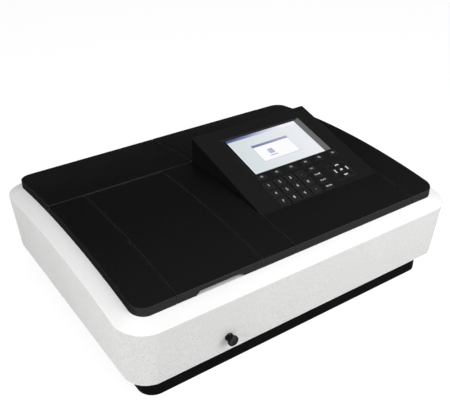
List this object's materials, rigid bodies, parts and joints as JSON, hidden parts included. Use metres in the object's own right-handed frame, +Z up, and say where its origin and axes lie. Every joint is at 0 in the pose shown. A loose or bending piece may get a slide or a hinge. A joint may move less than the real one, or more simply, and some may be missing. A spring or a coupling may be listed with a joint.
{
  "type": "spectrophotometer",
  "caption": "Bench spectrophotometer: arched black top with a hinged sample lid, raised screen and keypad, white body, a pull knob that slides the cell changer, and the optics inside.",
  "frame": {"origin": "on the table under the middle of the instrument's overall length and width, its front knob included", "axes": "+X to the right along the front, +Y to the back, +Z up"},
  "size_m": [0.607, 0.4752, 0.2246],
  "materials": {
    "cover_plastic": "fine matte",
    "base_paint": "fine matt black paint",
    "white_body": "fine moulded grain",
    "foot_rubber": "matte",
    "screw_steel": "zinc",
    "bright_steel": "ground",
    "tub_paint": "matt black",
    "black_anodised": "black anodised",
    "lens_glass": "polished",
    "bush_brass": "nickel plated",
    "knob_plastic": "polished",
    "bench_cast": "as cast",
    "mirror_glass": "polished",
    "lamp_glass": "clear",
    "detector_metal": "satin",
    "circuit_board": "solder mask",
    "supply_metal": "plated",
    "fan_plastic": "matte",
    "inlet_plastic": "matte",
    "rocker_plastic": "gloss",
    "window_plastic": "anti-glare",
    "display_plastic": "matte",
    "key_plastic": "matte"
  },
  "bodies": {
    "instrument": {"base_pan": "base_paint", "beam_windows": "lens_glass", "bench_mirrors": "mirror_glass", "body_shell": "white_body", "case_screws": "screw_steel", "centre_cover": "cover_plastic", "compartment_fittings": "tub_paint", "console_cover": "cover_plastic", "detectors": "detector_metal", "display_module": "display_plastic", "display_window": "window_plastic", "fan_frame": "fan_plastic", "keypad_board": "circuit_board", "left_cover": "cover_plastic", "lid_hinge_rod": "bright_steel", "main_board": "circuit_board", "mains_inlet": "inlet_plastic", "optical_bench": "bench_cast", "power_supply": "supply_metal", "rear_cover": "cover_plastic", "right_cover": "cover_plastic", "rod_bush": "bush_brass", "rubber_feet": "foot_rubber", "sample_tub": "tub_paint", "source_lamps": "lamp_glass"},
    "lid": {"sample_lid": "cover_plastic"},
    "changer": {"cell_carriage": "black_anodised", "changer_rod": "bright_steel", "pull_knob": "knob_plastic"},
    "grating": {"grating_turret": "black_anodised"},
    "source_selector": {"source_mirror": "black_anodised"},
    "fan": {"fan_rotor": "fan_plastic"},
    "power_switch": {"mains_rocker": "rocker_plastic"},
    "function_key_1": {"function_key_1": "key_plastic"},
    "function_key_2": {"function_key_2": "key_plastic"},
    "function_key_3": {"function_key_3": "key_plastic"},
    "function_key_4": {"function_key_4": "key_plastic"},
    "function_key_5": {"function_key_5": "key_plastic"},
    "function_key_6": {"function_key_6": "key_plastic"},
    "number_key_1": {"number_key_1": "key_plastic"},
    "number_key_10": {"number_key_10": "key_plastic"},
    "number_key_11": {"number_key_11": "key_plastic"},
    "number_key_12": {"number_key_12": "key_plastic"},
    "number_key_2": {"number_key_2": "key_plastic"},
    "number_key_3": {"number_key_3": "key_plastic"},
    "number_key_4": {"number_key_4": "key_plastic"},
    "number_key_5": {"number_key_5": "key_plastic"},
    "number_key_6": {"number_key_6": "key_plastic"},
    "number_key_7": {"number_key_7": "key_plastic"},
    "number_key_8": {"number_key_8": "key_plastic"},
    "number_key_9": {"number_key_9": "key_plastic"},
    "pad_key_down": {"pad_key_down": "key_plastic"},
    "pad_key_left": {"pad_key_left": "key_plastic"},
    "pad_key_middle": {"pad_key_middle": "key_plastic"},
    "pad_key_right": {"pad_key_right": "key_plastic"},
    "pad_key_up": {"pad_key_up": "key_plastic"},
    "side_key_1": {"side_key_1": "key_plastic"},
    "side_key_2": {"side_key_2": "key_plastic"},
    "side_key_3": {"side_key_3": "key_plastic"},
    "side_key_4": {"side_key_4": "key_plastic"}
  },
  "joints": [
    {"name": "lid_hinge", "type": "hinge", "parent": "instrument", "child": "lid", "pos_m": [-0.14975, 0.0682, 0.17263], "axis": [-1, 0, 0], "range_deg": [0, 80]},
    {"name": "changer_slide", "type": "slide", "parent": "instrument", "child": "changer", "axis": [0, -1, 0], "range_m": [0, 0.06]},
    {"name": "grating_turn", "type": "hinge", "parent": "instrument", "child": "grating", "pos_m": [0.08, -0.0182, 0.072], "axis": [0, 0, 1], "range_deg": [-25, 35]},
    {"name": "source_select", "type": "hinge", "parent": "instrument", "child": "source_selector", "pos_m": [0.086, 0.0518, 0.072], "axis": [0, 0, 1], "range_deg": [0, 40]},
    {"name": "fan_spin", "type": "hinge", "parent": "instrument", "child": "fan", "pos_m": [0.19, 0.2108, 0.094], "axis": [0, 1, 0], "continuous": true},
    {"name": "power_rocker", "type": "hinge", "parent": "instrument", "child": "power_switch", "pos_m": [-0.195, 0.2218, 0.11], "axis": [-1, 0, 0], "range_deg": [0, 18]},
    {"name": "function_key_1_press", "type": "slide", "parent": "instrument", "child": "function_key_1", "axis": [0, 0.2516, -0.9678], "range_m": [0, 0.0012], "stiffness_N_per_m": 300, "springref_m": -0.002},
    {"name": "function_key_2_press", "type": "slide", "parent": "instrument", "child": "function_key_2", "axis": [0, 0.2516, -0.9678], "range_m": [0, 0.0012], "stiffness_N_per_m": 300, "springref_m": -0.002},
    {"name": "function_key_3_press", "type": "slide", "parent": "instrument", "child": "function_key_3", "axis": [0, 0.2516, -0.9678], "range_m": [0, 0.0012], "stiffness_N_per_m": 300, "springref_m": -0.002},
    {"name": "function_key_4_press", "type": "slide", "parent": "instrument", "child": "function_key_4", "axis": [0, 0.2516, -0.9678], "range_m": [0, 0.0012], "stiffness_N_per_m": 300, "springref_m": -0.002},
    {"name": "function_key_5_press", "type": "slide", "parent": "instrument", "child": "function_key_5", "axis": [0, 0.2516, -0.9678], "range_m": [0, 0.0012], "stiffness_N_per_m": 300, "springref_m": -0.002},
    {"name": "function_key_6_press", "type": "slide", "parent": "instrument", "child": "function_key_6", "axis": [0, 0.2516, -0.9678], "range_m": [0, 0.0012], "stiffness_N_per_m": 300, "springref_m": -0.002},
    {"name": "number_key_1_press", "type": "slide", "parent": "instrument", "child": "number_key_1", "axis": [0, 0.2516, -0.9678], "range_m": [0, 0.0012], "stiffness_N_per_m": 300, "springref_m": -0.002},
    {"name": "number_key_10_press", "type": "slide", "parent": "instrument", "child": "number_key_10", "axis": [0, 0.2516, -0.9678], "range_m": [0, 0.0012], "stiffness_N_per_m": 300, "springref_m": -0.002},
    {"name": "number_key_11_press", "type": "slide", "parent": "instrument", "child": "number_key_11", "axis": [0, 0.2516, -0.9678], "range_m": [0, 0.0012], "stiffness_N_per_m": 300, "springref_m": -0.002},
    {"name": "number_key_12_press", "type": "slide", "parent": "instrument", "child": "number_key_12", "axis": [0, 0.2516, -0.9678], "range_m": [0, 0.0012], "stiffness_N_per_m": 300, "springref_m": -0.002},
    {"name": "number_key_2_press", "type": "slide", "parent": "instrument", "child": "number_key_2", "axis": [0, 0.2516, -0.9678], "range_m": [0, 0.0012], "stiffness_N_per_m": 300, "springref_m": -0.002},
    {"name": "number_key_3_press", "type": "slide", "parent": "instrument", "child": "number_key_3", "axis": [0, 0.2516, -0.9678], "range_m": [0, 0.0012], "stiffness_N_per_m": 300, "springref_m": -0.002},
    {"name": "number_key_4_press", "type": "slide", "parent": "instrument", "child": "number_key_4", "axis": [0, 0.2516, -0.9678], "range_m": [0, 0.0012], "stiffness_N_per_m": 300, "springref_m": -0.002},
    {"name": "number_key_5_press", "type": "slide", "parent": "instrument", "child": "number_key_5", "axis": [0, 0.2516, -0.9678], "range_m": [0, 0.0012], "stiffness_N_per_m": 300, "springref_m": -0.002},
    {"name": "number_key_6_press", "type": "slide", "parent": "instrument", "child": "number_key_6", "axis": [0, 0.2516, -0.9678], "range_m": [0, 0.0012], "stiffness_N_per_m": 300, "springref_m": -0.002},
    {"name": "number_key_7_press", "type": "slide", "parent": "instrument", "child": "number_key_7", "axis": [0, 0.2516, -0.9678], "range_m": [0, 0.0012], "stiffness_N_per_m": 300, "springref_m": -0.002},
    {"name": "number_key_8_press", "type": "slide", "parent": "instrument", "child": "number_key_8", "axis": [0, 0.2516, -0.9678], "range_m": [0, 0.0012], "stiffness_N_per_m": 300, "springref_m": -0.002},
    {"name": "number_key_9_press", "type": "slide", "parent": "instrument", "child": "number_key_9", "axis": [0, 0.2516, -0.9678], "range_m": [0, 0.0012], "stiffness_N_per_m": 300, "springref_m": -0.002},
    {"name": "pad_key_down_press", "type": "slide", "parent": "instrument", "child": "pad_key_down", "axis": [0, 0.2516, -0.9678], "range_m": [0, 0.0012], "stiffness_N_per_m": 300, "springref_m": -0.002},
    {"name": "pad_key_left_press", "type": "slide", "parent": "instrument", "child": "pad_key_left", "axis": [0, 0.2516, -0.9678], "range_m": [0, 0.0012], "stiffness_N_per_m": 300, "springref_m": -0.002},
    {"name": "pad_key_middle_press", "type": "slide", "parent": "instrument", "child": "pad_key_middle", "axis": [0, 0.2516, -0.9678], "range_m": [0, 0.0012], "stiffness_N_per_m": 300, "springref_m": -0.002},
    {"name": "pad_key_right_press", "type": "slide", "parent": "instrument", "child": "pad_key_right", "axis": [0, 0.2516, -0.9678], "range_m": [0, 0.0012], "stiffness_N_per_m": 300, "springref_m": -0.002},
    {"name": "pad_key_up_press", "type": "slide", "parent": "instrument", "child": "pad_key_up", "axis": [0, 0.2516, -0.9678], "range_m": [0, 0.0012], "stiffness_N_per_m": 300, "springref_m": -0.002},
    {"name": "side_key_1_press", "type": "slide", "parent": "instrument", "child": "side_key_1", "axis": [0, 0.2516, -0.9678], "range_m": [0, 0.0012], "stiffness_N_per_m": 300, "springref_m": -0.002},
    {"name": "side_key_2_press", "type": "slide", "parent": "instrument", "child": "side_key_2", "axis": [0, 0.2516, -0.9678], "range_m": [0, 0.0012], "stiffness_N_per_m": 300, "springref_m": -0.002},
    {"name": "side_key_3_press", "type": "slide", "parent": "instrument", "child": "side_key_3", "axis": [0, 0.2516, -0.9678], "range_m": [0, 0.0012], "stiffness_N_per_m": 300, "springref_m": -0.002},
    {"name": "side_key_4_press", "type": "slide", "parent": "instrument", "child": "side_key_4", "axis": [0, 0.2516, -0.9678], "range_m": [0, 0.0012], "stiffness_N_per_m": 300, "springref_m": -0.002}
  ]
}
